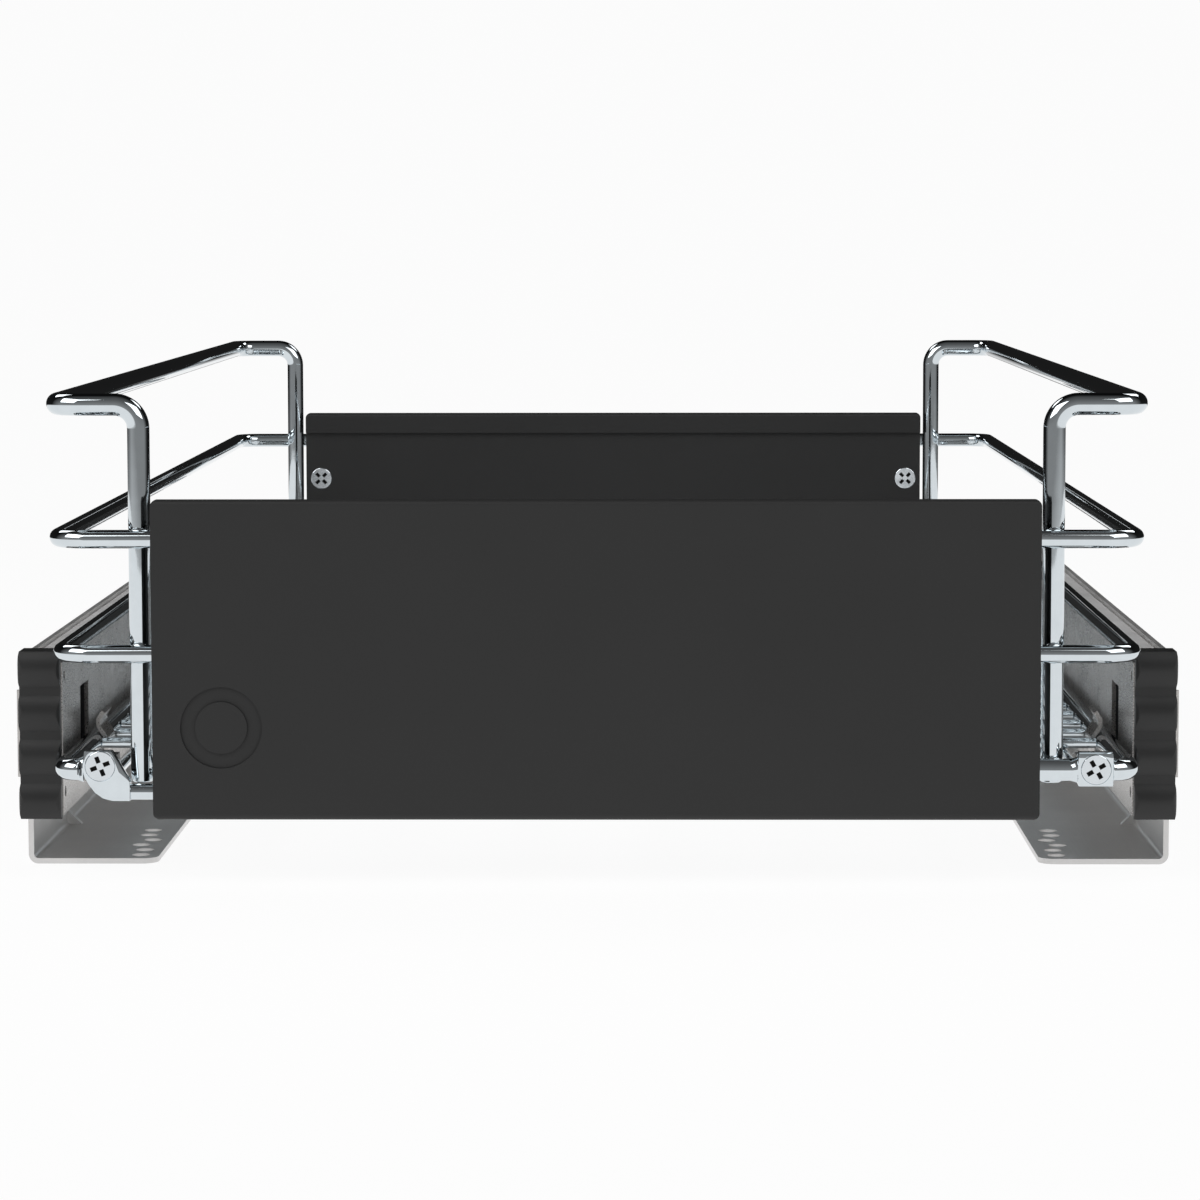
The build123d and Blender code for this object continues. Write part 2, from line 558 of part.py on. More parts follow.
# ---------------------------------------------------------------- write the parts
save_pair("bracket", bracket())
save_pair("outer_rail", outer_rail())
save("rail_rivets", rail_rivets())
save_pair("rear_stop", rear_stop())

save_pair("middle_rail", race_channel(**MIDDLE))
for cage_name, cage in (("outer", OUTER_CAGE), ("inner", INNER_CAGE)):
    save_pair(f"{cage_name}_cage", ball_cage(cage))
    save_pair(f"{cage_name}_balls", balls(cage))

save_pair("inner_rail", inner_rail())
save_pair("carrier", carrier())
save("carrier_rivets", carrier_rivets())
save_pair("end_cap", end_cap())
save("lock_block_right", lock_block(*FIX_RIGHT))
save("lock_block_left", left_of(lock_block(-FIX_LEFT[0], FIX_LEFT[1])))

save_pair("top_rail", top_rail())
save("middle_loop", closed_loop(MID_X, LOOP_FRONT, LOOP_REAR, MID_Z, LOOP_CORNER, LOOP_D))
save("low_loop", closed_loop(LOW_X, LOOP_FRONT, LOOP_REAR, LOW_Z, LOOP_CORNER, LOOP_D))
save("base_loop", base_loop())
save("front_bar", front_bar())
save("cross_wires", cross_wires())
save("long_wires", long_wires())

save("front_panel", front_panel())
save("rear_panel", rear_panel())
save("front_panel_clips", front_clips())
save("rear_panel_clips", rear_clips())
save("front_panel_screws", front_panel_screws())
save("rear_panel_screws", rear_panel_screws())
save("basket_screws", basket_screws())
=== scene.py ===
import json
import math

import bmesh
import bpy
from mathutils import Matrix, Vector


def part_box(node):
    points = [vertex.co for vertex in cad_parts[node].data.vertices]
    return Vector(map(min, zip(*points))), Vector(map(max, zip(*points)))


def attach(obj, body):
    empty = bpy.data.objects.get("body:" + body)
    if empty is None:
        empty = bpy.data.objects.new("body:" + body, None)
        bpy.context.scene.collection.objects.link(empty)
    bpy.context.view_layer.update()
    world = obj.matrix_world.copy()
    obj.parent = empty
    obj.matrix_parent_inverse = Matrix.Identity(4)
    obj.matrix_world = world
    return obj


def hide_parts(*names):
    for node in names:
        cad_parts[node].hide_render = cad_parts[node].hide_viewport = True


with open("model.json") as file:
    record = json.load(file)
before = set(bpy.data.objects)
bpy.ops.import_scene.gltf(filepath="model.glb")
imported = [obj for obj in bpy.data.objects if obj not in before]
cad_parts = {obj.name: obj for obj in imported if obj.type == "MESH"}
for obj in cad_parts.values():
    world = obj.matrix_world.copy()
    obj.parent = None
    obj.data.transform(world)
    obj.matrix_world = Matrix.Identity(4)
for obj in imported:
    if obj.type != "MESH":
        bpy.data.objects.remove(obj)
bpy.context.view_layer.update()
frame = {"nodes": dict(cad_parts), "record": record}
NODES = frame["nodes"]

# Pull-out wire basket on side-mounted ball slides. Metres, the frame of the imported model:
# +Z up from the cabinet floor, the basket pulls out towards -Y, X = 0 in the middle.
MM = 0.001
RAIL_R, LOOP_R, GRID_R = 3.0 * MM, 2.5 * MM, 1.5 * MM
WHITE = 0.968                      # pale floor and backdrop


# ---------------------------------------------------------------- node graphs
class Graph:
    """A material or world node tree, built one node at a time."""

    def __init__(self, owner):
        owner.use_nodes = True
        self.tree = owner.node_tree
        self.tree.nodes.clear()

    def add(self, kind, inputs=None, **settings):
        node = self.tree.nodes.new("ShaderNode" + kind)
        for key, value in settings.items():
            setattr(node, key, value)
        for key, value in (inputs or {}).items():
            self.feed(node.inputs[key], value)
        return node

    def feed(self, socket, value):
        if isinstance(value, bpy.types.NodeSocket):
            self.tree.links.new(value, socket)
        elif isinstance(value, bpy.types.Node):
            self.tree.links.new(value.outputs[0], socket)
        else:
            socket.default_value = value

    def coords(self, stretch=(1, 1, 1)):
        """Object coordinates, scaled: the piece's own metres."""
        place = self.add("TexCoord")
        return self.add("Mapping", {"Vector": place.outputs["Object"], "Scale": stretch})

    def noise(self, vector, scale, detail=3.0, roughness=0.55):
        return self.add("TexNoise", {"Vector": vector, "Scale": scale, "Detail": detail,
                                     "Roughness": roughness}).outputs["Fac"]

    def ramp(self, value, low, high, from_low=0.3, from_high=0.7):
        """Map a 0 to 1 value to low..high."""
        return self.add("MapRange", {"Value": value, "From Min": from_low, "From Max": from_high,
                                     "To Min": low, "To Max": high}).outputs["Result"]

    def tint(self, value, dark, light):
        mix = self.add("Mix", data_type="RGBA")
        self.feed(mix.inputs["Factor"], value)
        self.feed(mix.inputs["A"], (*dark, 1.0))
        self.feed(mix.inputs["B"], (*light, 1.0))
        return mix.outputs["Result"]

    def bump(self, height, distance, strength=1.0, under=None):
        inputs = {"Height": height, "Distance": distance, "Strength": strength}
        if under is not None:
            inputs["Normal"] = under
        return self.add("Bump", inputs).outputs["Normal"]

    def surface(self, **inputs):
        shader = self.add("BsdfPrincipled", {k.replace("_", " "): v for k, v in inputs.items()})
        self.add("OutputMaterial", {"Surface": shader})


def shade(colour, factor):
    return tuple(min(c * factor, 1.0) for c in colour)


# ---------------------------------------------------------------- materials
def chrome(name, colour, roughness):
    """Bright plate over drawn wire: a faint long waviness and a trace of haze."""
    material = bpy.data.materials.new(name)
    g = Graph(material)
    place = g.coords()
    haze = g.noise(place, 220.0)
    wave = g.noise(place, 90.0, 1.0)
    g.surface(Base_Color=g.tint(g.ramp(haze, 0.0, 1.0), shade(colour, 0.97), shade(colour, 1.02)),
              Metallic=1.0,
              Roughness=g.ramp(haze, roughness * 0.7, roughness * 1.4),
              Normal=g.bump(wave, 0.02 * MM, 0.5))
    return material


def satin_steel(name, colour, roughness, grain=(1, 0.02, 1), depth=0.004, mottle=0.10,
                metallic=0.92, streaks=0.35):
    """Zinc-plated sheet: fine rolling lines along one axis under a soft uneven plating."""
    material = bpy.data.materials.new(name)
    g = Graph(material)
    lines = g.noise(g.coords(grain), 2600.0, 2.0, 0.6)
    cloud = g.noise(g.coords(), 45.0, 4.0, 0.6)
    speck = g.noise(g.coords(), 1900.0, 2.0, 0.5)
    patch = g.tint(g.ramp(cloud, 0.0, 1.0), shade(colour, 1 - mottle), shade(colour, 1 + mottle))
    streak = g.add("Mix", data_type="RGBA", blend_type="MULTIPLY")
    g.feed(streak.inputs["Factor"], streaks)
    g.feed(streak.inputs["A"], patch)
    g.feed(streak.inputs["B"], g.tint(lines, (0.75, 0.75, 0.75), (1.0, 1.0, 1.0)))
    rough = g.add("Math", {0: g.ramp(cloud, roughness * 0.9, roughness * 1.1),
                           1: g.ramp(speck, -0.04, 0.04)}, operation="ADD")
    g.surface(Base_Color=streak.outputs["Result"], Metallic=metallic, Roughness=rough,
              Normal=g.bump(speck, 0.5 * depth * MM, 0.6, g.bump(lines, depth * MM, 0.8)))
    return material


def powder_coat(name, colour, roughness):
    """Fine-texture powder paint."""
    material = bpy.data.materials.new(name)
    g = Graph(material)
    place = g.coords()
    peel = g.noise(place, 1500.0, 2.0, 0.5)
    cloud = g.noise(place, 18.0, 3.0, 0.5)
    g.surface(Base_Color=g.tint(g.ramp(cloud, 0.0, 1.0), shade(colour, 0.94), shade(colour, 1.06)),
              Roughness=g.ramp(peel, roughness * 0.93, roughness * 1.07),
              Specular_IOR_Level=0.35,
              Normal=g.bump(peel, 0.012 * MM, 0.8))
    return material


def moulded_plastic(name, colour, roughness):
    """Plastic with a spark-eroded grain."""
    material = bpy.data.materials.new(name)
    g = Graph(material)
    place = g.coords()
    grain = g.noise(place, 2400.0, 2.0, 0.6)
    flow = g.noise(place, 60.0, 2.0, 0.5)
    g.surface(Base_Color=g.tint(g.ramp(flow, 0.0, 1.0), shade(colour, 0.93), shade(colour, 1.07)),
              Roughness=g.ramp(grain, roughness * 0.9, roughness * 1.1),
              Specular_IOR_Level=0.4,
              Normal=g.bump(grain, 0.01 * MM, 0.8))
    return material


MATERIALS = {
    "chrome_wire": chrome("chrome_plate", (0.66, 0.71, 0.74), 0.035),
    "grid_wire": chrome("chrome_plate_grid", (0.64, 0.69, 0.72), 0.05),
    "panel_paint": powder_coat("anthracite_powder_coat", (0.018, 0.018, 0.018), 0.5),
    "bracket_steel": satin_steel("satin_zinc_bracket", (0.77, 0.76, 0.75), 0.41, mottle=0.05),
    "carrier_steel": satin_steel("satin_zinc_carrier", (0.57, 0.55, 0.535), 0.28, (1, 1, 0.02),
                                 0.0007, mottle=0.04, streaks=0.2),
    "slide_steel": satin_steel("rolled_zinc_slide", (0.82, 0.81, 0.805), 0.45, (1, 0.01, 1), 0.003,
                               metallic=0.3),
    # Near-black races: the dark tone is painted shade for the gap between the outer rail's lip and the
    # carrier.
    "race_steel": satin_steel("race_painted_shade", (0.10, 0.10, 0.105), 0.36, (1, 0.01, 1), 0.002),
    "cage_steel": satin_steel("cage_strip", (0.42, 0.42, 0.43), 0.35, (1, 0.02, 1), 0.003),
    "ball_steel": chrome("bearing_steel", (0.60, 0.61, 0.63), 0.08),
    "stop_rubber": moulded_plastic("black_rubber", (0.02, 0.02, 0.02), 0.8),
    "cap_plastic": moulded_plastic("charcoal_plastic", (0.016, 0.016, 0.016), 0.38),
    "clip_plastic": moulded_plastic("black_plastic", (0.022, 0.022, 0.022), 0.45),
    "rivet_steel": satin_steel("rivet_zinc", (0.60, 0.59, 0.585), 0.36, (1, 1, 1), 0.002),
    "screw_steel": chrome("nickel_plate", (0.66, 0.70, 0.73), 0.10),
}
# Near-black material for the faces inside the screws' cross recesses: painted shade in the recess.
RECESS_PAINTED_SHADE = satin_steel("recess_painted_shade", (0.03, 0.03, 0.03), 0.6, (1, 1, 1), 0.002)
SLOT_OF = {s["node"]: s["material_slot"] for s in frame["record"]["subparts"]}
BODY_OF = {node: body for body, members in frame["record"]["behaviour"]["bodies"].items()
           for node in members}

for node, obj in NODES.items():
    obj.data.materials.clear()
    obj.data.materials.append(MATERIALS[SLOT_OF[node]])


EDGE_ANGLE = math.radians(40)              # only sharper corners than this are broken
SHEET_EDGE, BRACKET_EDGE = 0.15 * MM, 0.18 * MM


def round_edges(node, width, segments=2):
    """Break the sharp edges of a CAD part, so that they catch the light."""
    bevel = NODES[node].modifiers.new("broken_edges", "BEVEL")
    bevel.width = width
    bevel.segments = segments
    bevel.limit_method = "ANGLE"
    bevel.angle_limit = EDGE_ANGLE
    bevel.use_clamp_overlap = True
    bevel.harden_normals = False


for side in ("left", "right"):
    round_edges(f"carrier_{side}", SHEET_EDGE)
    round_edges(f"bracket_{side}", BRACKET_EDGE)
for node in ("front_panel", "rear_panel"):
    round_edges(node, SHEET_EDGE)


# ---------------------------------------------------------------- mesh helpers
SHARP_ANGLE = math.radians(20)
ARC_STEP = math.radians(6)                 # turn between two sections of a bent wire
WIRE_CHAMFER, GRID_CHAMFER = 0.25 * MM, 0.2 * MM


def smooth(mesh):
    mesh.shade_smooth()
    mesh.set_sharp_from_angle(angle=SHARP_ANGLE)


def piece_from(name, mesh_data, node):
    """Make an object that stands for a CAD node: same body, same slot, finer mesh."""
    mesh = bpy.data.meshes.new(name)
    bmesh.ops.recalc_face_normals(mesh_data, faces=mesh_data.faces)
    mesh_data.to_mesh(mesh)
    mesh_data.free()
    smooth(mesh)
    obj = bpy.data.objects.new(name, mesh)
    bpy.context.scene.collection.objects.link(obj)
    mesh.materials.append(MATERIALS[SLOT_OF[node]])
    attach(obj, BODY_OF[node])
    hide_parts(node)
    return obj


def bent_path(points, radii):
    """Centre line through points, with an arc of the given radius at each inner point."""
    points = [Vector(p) for p in points]
    path = [points[0]]
    for before, corner, after, radius in zip(points, points[1:], points[2:], radii):
        into, out = (before - corner).normalized(), (after - corner).normalized()
        opening = into.angle(out)
        reach = radius / math.tan(opening / 2)
        middle = corner + (into + out).normalized() * (radius / math.sin(opening / 2))
        start, end = corner + into * reach - middle, corner + out * reach - middle
        turn = math.pi - opening
        axis = start.cross(end).normalized()
        steps = max(4, round(turn / ARC_STEP))
        path += [middle + Matrix.Rotation(turn * n / steps, 3, axis) @ start
                 for n in range(steps + 1)]
    path.append(points[-1])
    return path


def tangents(path, closed):
    count = len(path)
    made = []
    for n in range(count):
        after = path[(n + 1) % count] if closed else path[min(n + 1, count - 1)]
        before = path[n - 1] if closed or n else path[0]
        made.append((after - before).normalized())
    return made


def ring_at(bm, centre, across, over, size, sides=40):
    return [bm.verts.new(centre + (across * math.cos(a) + over * math.sin(a)) * size)
            for a in (2 * math.pi * s / sides for s in range(sides))]


def bridge(bm, ring_a, ring_b):
    count = len(ring_a)
    for n in range(count):
        bm.faces.new((ring_a[n], ring_a[(n + 1) % count], ring_b[(n + 1) % count], ring_b[n]))


def add_wire(bm, path, radius, closed=False, chamfer=WIRE_CHAMFER, sides=40):
    """Round wire along a path that lies in one plane or bends gently."""
    along = tangents(path, closed)
    across = along[0].orthogonal().normalized()
    rings = []
    for n, (centre, ahead) in enumerate(zip(path, along)):
        across = (across - ahead * across.dot(ahead)).normalized()
        over = ahead.cross(across)
        at_start, at_end = n == 0 and not closed, n == len(path) - 1 and not closed
        if at_start:
            rings.append(ring_at(bm, centre, across, over, radius - chamfer, sides))
            centre = centre + ahead * chamfer
        if at_end:
            rings.append(ring_at(bm, centre - ahead * chamfer, across, over, radius, sides))
            rings.append(ring_at(bm, centre, across, over, radius - chamfer, sides))
        else:
            rings.append(ring_at(bm, centre, across, over, radius, sides))
    for ring_a, ring_b in zip(rings, rings[1:]):
        bridge(bm, ring_a, ring_b)
    if closed:
        bridge(bm, rings[-1], rings[0])
    else:
        bm.faces.new(reversed(rings[0]))
        bm.faces.new(rings[-1])


# ---------------------------------------------------------------- wires
UPRIGHT_BEND, CORNER_BEND, LOOP_BEND = 6.5 * MM, 7 * MM, 8 * MM


def top_rail(side):
    lo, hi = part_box(f"top_rail_{side}")
    sign = 1 if side == "right" else -1
    x_up = sign * (min(abs(lo.x), abs(hi.x)) + RAIL_R)
    x_out = sign * (max(abs(lo.x), abs(hi.x)) - RAIL_R)
    y_front, y_rear, z_top = lo.y + RAIL_R, hi.y - RAIL_R, hi.z - RAIL_R
    points = [(x_up, y_front, lo.z), (x_up, y_front, z_top), (x_out, y_front, z_top),
              (x_out, y_rear, z_top), (x_up, y_rear, z_top), (x_up, y_rear, lo.z)]
    bm = bmesh.new()
    bends = [UPRIGHT_BEND, CORNER_BEND, CORNER_BEND, UPRIGHT_BEND]
    add_wire(bm, bent_path(points, bends), RAIL_R)
    piece_from(f"top_rail_wire_{side}", bm, f"top_rail_{side}")


def side_loop(node):
    lo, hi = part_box(node)
    x, y0, y1, z = hi.x - LOOP_R, lo.y + LOOP_R, hi.y - LOOP_R, (lo.z + hi.z) / 2
    points = [(0, y0, z), (x, y0, z), (x, y1, z), (-x, y1, z), (-x, y0, z), (0, y0, z)]
    bm = bmesh.new()
    add_wire(bm, bent_path(points, [LOOP_BEND] * 4)[:-1], LOOP_R, closed=True)
    piece_from(f"{node}_wire", bm, node)


def straight_wires(node, along_x):
    """Each grid wire again, read from its own solid in the CAD node."""
    bm = bmesh.new()
    for lo, hi in solids_of(node):
        middle = (lo + hi) / 2
        if along_x:
            path = [Vector((lo.x, middle.y, middle.z)), Vector((hi.x, middle.y, middle.z))]
        else:
            path = [Vector((middle.x, lo.y, middle.z)), Vector((middle.x, hi.y, middle.z))]
        add_wire(bm, path, GRID_R, chamfer=GRID_CHAMFER)
    piece_from(f"{node}_fine", bm, node)


def solids_of(node):
    """Boxes of the separate solids in a CAD node, by connected vertices."""
    bm = bmesh.new()
    bm.from_mesh(NODES[node].data)
    bmesh.ops.remove_doubles(bm, verts=bm.verts, dist=0.002 * MM)
    left = set(bm.verts)
    boxes = []
    while left:
        front = [left.pop()]
        found = list(front)
        while front:
            vert = front.pop()
            for edge in vert.link_edges:
                other = edge.other_vert(vert)
                if other in left:
                    left.remove(other)
                    front.append(other)
                    found.append(other)
        lo = Vector([min(v.co[k] for v in found) for k in range(3)])
        hi = Vector([max(v.co[k] for v in found) for k in range(3)])
        boxes.append((lo, hi))
    bm.free()
    return sorted(boxes, key=lambda b: (round(b[0].y, 5), round(b[0].x, 5)))


def applied(obj):
    """Bake an object's modifiers into its mesh."""
    bpy.context.view_layer.update()
    graph = bpy.context.evaluated_depsgraph_get()
    mesh = bpy.data.meshes.new_from_object(obj.evaluated_get(graph))
    obj.modifiers.clear()
    obj.data = mesh
    return obj


def boolean(obj, tool_data, operation):
    """Union or difference with a closed bmesh, which is used up."""
    mesh = bpy.data.meshes.new("tool")
    tool_data.to_mesh(mesh)
    tool_data.free()
    tool = bpy.data.objects.new("tool", mesh)
    bpy.context.scene.collection.objects.link(tool)
    step = obj.modifiers.new("cut", "BOOLEAN")
    step.operation = operation
    step.solver = "EXACT"
    step.object = tool
    applied(obj)
    bpy.data.objects.remove(tool)
    bpy.data.meshes.remove(mesh)


def turned(profile, centre, into, sides=72):
    """Solid of revolution: (radius, depth) pairs from a face centre along the direction into."""
    bm = bmesh.new()
    across = into.orthogonal().normalized()
    over = into.cross(across)
    rings = [ring_at(bm, centre + into * depth, across, over, radius, sides)
             for radius, depth in profile]
    for ring_a, ring_b in zip(rings, rings[1:]):
        bridge(bm, ring_a, ring_b)
    bm.faces.new(reversed(rings[0]))
    bm.faces.new(rings[-1])
    bmesh.ops.recalc_face_normals(bm, faces=bm.faces)
    return bm


# ---------------------------------------------------------------- screws
HEAD_R, SHANK_R, HEAD_DEPTH = 4.1 * MM, 1.75 * MM, 2.2 * MM
GAP = 0.09 * MM                    # ring of shadow round each countersunk head
ARM_W, ARM_IN, ARM_OUT, ARM_DEPTH = 1.2 * MM, 0.95 * MM, 2.75 * MM, 1.0 * MM
ARM_TAPER, ARM_DRAFT = 0.7 * MM, 0.25 * MM
HOLE_FIT, HOLE_LEAD, HOLE_DEPTH = 0.02 * MM, 0.1 * MM, 14 * MM
HEAD_EDGE = ((0.16 * MM, 0.0), (0.04 * MM, 0.05 * MM), (0.0, 0.17 * MM))   # inset, depth
TIP_TAPER, TIP_LENGTH = 0.6 * MM, 0.8 * MM


def sunk_hole(centre, into):
    """Cutter for a countersunk hole whose face is at centre."""
    rim, bore = HEAD_R + HOLE_FIT, SHANK_R + GAP
    profile = [(rim, -1.0 * MM), (rim, HOLE_LEAD), (bore, HEAD_DEPTH), (bore, HOLE_DEPTH)]
    return turned(profile, centre, into)


def add_arm(bm, face, along, into):
    """Cutter for one arm of a cross recess: it narrows and shortens with depth."""
    aside = along.cross(into)
    rings = []
    for depth, outer, half in ((-ARM_DEPTH, ARM_OUT, ARM_W / 2), (0.0, ARM_OUT, ARM_W / 2),
                               (ARM_DEPTH, ARM_OUT - ARM_TAPER, ARM_W / 2 - ARM_DRAFT)):
        rings.append([bm.verts.new(face + into * depth + along * reach + aside * side)
                      for reach, side in ((ARM_IN, -half), (outer, -half), (outer, half), (ARM_IN, half))])
    for ring_a, ring_b in zip(rings, rings[1:]):
        bridge(bm, ring_a, ring_b)
    bm.faces.new(reversed(rings[0]))
    bm.faces.new(rings[-1])


def screws(node, length, turns):
    """Cross-recess countersunk screws at the places of the CAD ones."""
    pieces = []
    for (lo, hi), turn in zip(solids_of(node), turns):
        faces_front = node != "front_panel_screws"
        into = Vector((0, 1 if faces_front else -1, 0))
        face = Vector(((lo.x + hi.x) / 2, lo.y if faces_front else hi.y, (lo.z + hi.z) / 2))
        profile = [(HEAD_R - GAP - inset, depth) for inset, depth in HEAD_EDGE]
        profile += [(SHANK_R, HEAD_DEPTH), (SHANK_R, length - TIP_LENGTH),
                    (SHANK_R - TIP_TAPER, length)]
        bm = turned(profile, face, into, 96)
        mesh = bpy.data.meshes.new("screw")
        bm.to_mesh(mesh)
        bm.free()
        screw = bpy.data.objects.new("screw", mesh)
        bpy.context.scene.collection.objects.link(screw)
        slots = bmesh.new()
        for n in range(4):
            angle = math.radians(turn + 90 * n)
            along = Vector((math.cos(angle), 0, math.sin(angle)))
            add_arm(slots, face, along, into)
        bmesh.ops.recalc_face_normals(slots, faces=slots.faces)
        boolean(screw, slots, "DIFFERENCE")
        pieces.append((screw, face))
    bm = bmesh.new()
    for screw, face in pieces:
        before = len(bm.faces)
        bm.from_mesh(screw.data)
        bm.faces.ensure_lookup_table()
        for side in bm.faces[before:]:
            reach = side.calc_center_median() - face
            depth = abs(reach.y)
            reach.y = 0
            in_recess = (0.02 * MM < depth <= ARM_DEPTH + 0.01 * MM
                         and reach.length < ARM_OUT + 0.05 * MM)
            # Faces inside a cross recess take the near-black painted-shade material.
            side.material_index = int(in_recess)
        bpy.data.objects.remove(screw)
    made = piece_from(f"{node}_fine", bm, node)
    made.data.materials.append(RECESS_PAINTED_SHADE)


# ---------------------------------------------------------------- base wire with its pad
PAD_HALF_W, PAD_HALF_H, PAD_HALF_D = 4.55 * MM, 4.65 * MM, 2.1 * MM
BASE_RUN = 40.4 * MM               # the wire stops behind the front panel, this far from the left
PAD_RISE, PAD_LEAD = 0.3 * MM, 0.5 * MM    # pad centre above and ahead of the wire's centre line
PAD_SHOULDER, PAD_STEP, CORNER_STEP = 2.6 * MM, 0.45 * MM, 0.15 * MM
PAD_CORNER, WIRE_CORNER = 9.0, 2.0       # superellipse exponents
SHOULDER_RISE = 0.5 * MM
BASE_BEND, END_BEND, PAD_BEND = 8.0 * MM, 3.5 * MM, 4.4 * MM
END_SHOULDER, END_LAP, LUG_HALF_D = 1.6 * MM, 0.3 * MM, 1.6 * MM


def smooth_step(value):
    t = min(max(value, 0.0), 1.0)
    return t * t * (3 - 2 * t)


def reshape(vert, wire, target, halves, near, flat):
    """Move a point of the round wire towards a flattened section: near thins it, flat squares it."""
    offset = Vector((vert.co.y - wire.y, vert.co.z - wire.z)).normalized()
    half_y = RAIL_R + (halves[0] - RAIL_R) * near
    half_z = RAIL_R + SHOULDER_RISE * near * (1 - flat) + (halves[1] - RAIL_R) * flat
    power = WIRE_CORNER + (PAD_CORNER - WIRE_CORNER) * flat
    reach = (abs(offset.x / half_y) ** power + abs(offset.y / half_z) ** power) ** (-1 / power)
    vert.co.y = wire.y + (target.y - wire.y) * near + offset.x * reach
    vert.co.z = wire.z + (target.z - wire.z) * flat + offset.y * reach


def coin_pad(vert, wire, pad):
    """Square pad for the right-hand screw, with a shoulder on its inboard side."""
    distance = abs(vert.co.x - pad.x) - PAD_HALF_W
    inboard = vert.co.x < pad.x
    near = 1 - smooth_step(distance / (PAD_SHOULDER if inboard else CORNER_STEP))
    flat = 1 - smooth_step(distance / (PAD_STEP if inboard else CORNER_STEP))
    if near > 0:
        reshape(vert, wire, pad, (PAD_HALF_D, PAD_HALF_H), near, flat)


def coin_end(vert, wire, lug):
    """Left end of the wire, flattened into the lug."""
    near = 1 - smooth_step((lug.x - vert.co.x) / END_SHOULDER)
    if near > 0:
        reshape(vert, wire, lug, (LUG_HALF_D, RAIL_R), near, 0.0)


def base_wire():
    lo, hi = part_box("base_loop")
    bar_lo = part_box("front_bar")[0]
    head_lo, head_hi = max(solids_of("basket_screws"), key=lambda box: box[0].x)
    pad = Vector(((head_lo.x + head_hi.x) / 2, head_lo.y + PAD_HALF_D, (head_lo.z + head_hi.z) / 2))
    x, y_front, y_rear, z = hi.x - RAIL_R, pad.y + PAD_LEAD, hi.y - RAIL_R, pad.z - PAD_RISE
    end_x = bar_lo.x + END_LAP
    points = [(end_x, y_front, z), (-x, y_front, z), (-x, y_rear, z), (x, y_rear, z),
              (x, y_front, z), (lo.x + BASE_RUN, y_front, z)]
    path = bent_path(points, [END_BEND, BASE_BEND, BASE_BEND, PAD_BEND])
    outboard = [CORNER_STEP * n / 3 for n in (2, 1, 0)]
    inboard = sorted([PAD_STEP * n / 4 for n in range(4)]
                     + [PAD_SHOULDER * n / 6 for n in range(1, 7)])
    runs = [pad.x + PAD_HALF_W + s for s in outboard]
    runs += [pad.x - PAD_HALF_W - s for s in inboard]
    path[-1:] = [Vector((run, y_front, z)) for run in runs] + [path[-1]]
    path[1:1] = [Vector((end_x - END_SHOULDER * n / 6, y_front, z)) for n in range(1, 7)]
    bm = bmesh.new()
    add_wire(bm, path, RAIL_R, sides=72)
    wire_line, lug = Vector((0, y_front, z)), Vector((end_x, bar_lo.y + LUG_HALF_D, z))
    for vert in bm.verts:
        if vert.co.y < y_front + 2 * RAIL_R and vert.co.x > 0:
            coin_pad(vert, wire_line, pad)
        elif vert.co.y < y_front + 2 * RAIL_R:
            coin_end(vert, wire_line, lug)
    wire = piece_from("base_wire", bm, "base_loop")
    boolean(wire, sunk_hole(Vector((pad.x, head_lo.y, pad.z)), Vector((0, 1, 0))), "DIFFERENCE")
    smooth(wire.data)


# ---------------------------------------------------------------- bar and lug
# Corners of the lug in millimetres, X and Z.
LUG_OUTLINE = ((-137.9, 36.1), (-130.4, 36.1), (-125.5, 27.8), (-125.5, 22.5), (-130.3, 22.5),
               (-132.9, 23.2), (-135.0, 24.7), (-136.7, 26.9), (-137.9, 29.0), (-138.5, 31.0))
LUG_EDGE = 0.25 * MM
BAR_R = 2.2 * MM
BAR_START = -127 * MM              # inside the lug


def front_bar():
    lo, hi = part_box("front_bar")
    head_lo, head_hi = min(solids_of("basket_screws"), key=lambda box: box[0].x)
    bar_y, bar_z = hi.y - BAR_R, lo.z + BAR_R
    bm = bmesh.new()
    front = [bm.verts.new((x * MM, lo.y, max(z * MM, lo.z))) for x, z in LUG_OUTLINE]
    back = [bm.verts.new((v.co.x, bar_y, v.co.z)) for v in front]
    bm.faces.new(front)
    bm.faces.new(list(reversed(back)))
    bridge(bm, front, back)
    bmesh.ops.recalc_face_normals(bm, faces=bm.faces)
    bmesh.ops.bevel(bm, geom=list(bm.edges), offset=LUG_EDGE, segments=3, affect="EDGES",
                    profile=0.5)
    lug = piece_from("front_bar_and_lug", bm, "front_bar")
    rod = bmesh.new()
    add_wire(rod, [Vector((BAR_START, bar_y, bar_z)), Vector((hi.x, bar_y, bar_z))], BAR_R)
    bmesh.ops.recalc_face_normals(rod, faces=rod.faces)
    boolean(lug, rod, "UNION")
    face = Vector(((head_lo.x + head_hi.x) / 2, lo.y, (head_lo.z + head_hi.z) / 2))
    boolean(lug, sunk_hole(face, Vector((0, 1, 0))), "DIFFERENCE")
    smooth(lug.data)


# ---------------------------------------------------------------- weld beads
BEAD = (3.1 * MM, 1.1 * MM, 2.9 * MM)     # half sizes, in the crevice between two wires


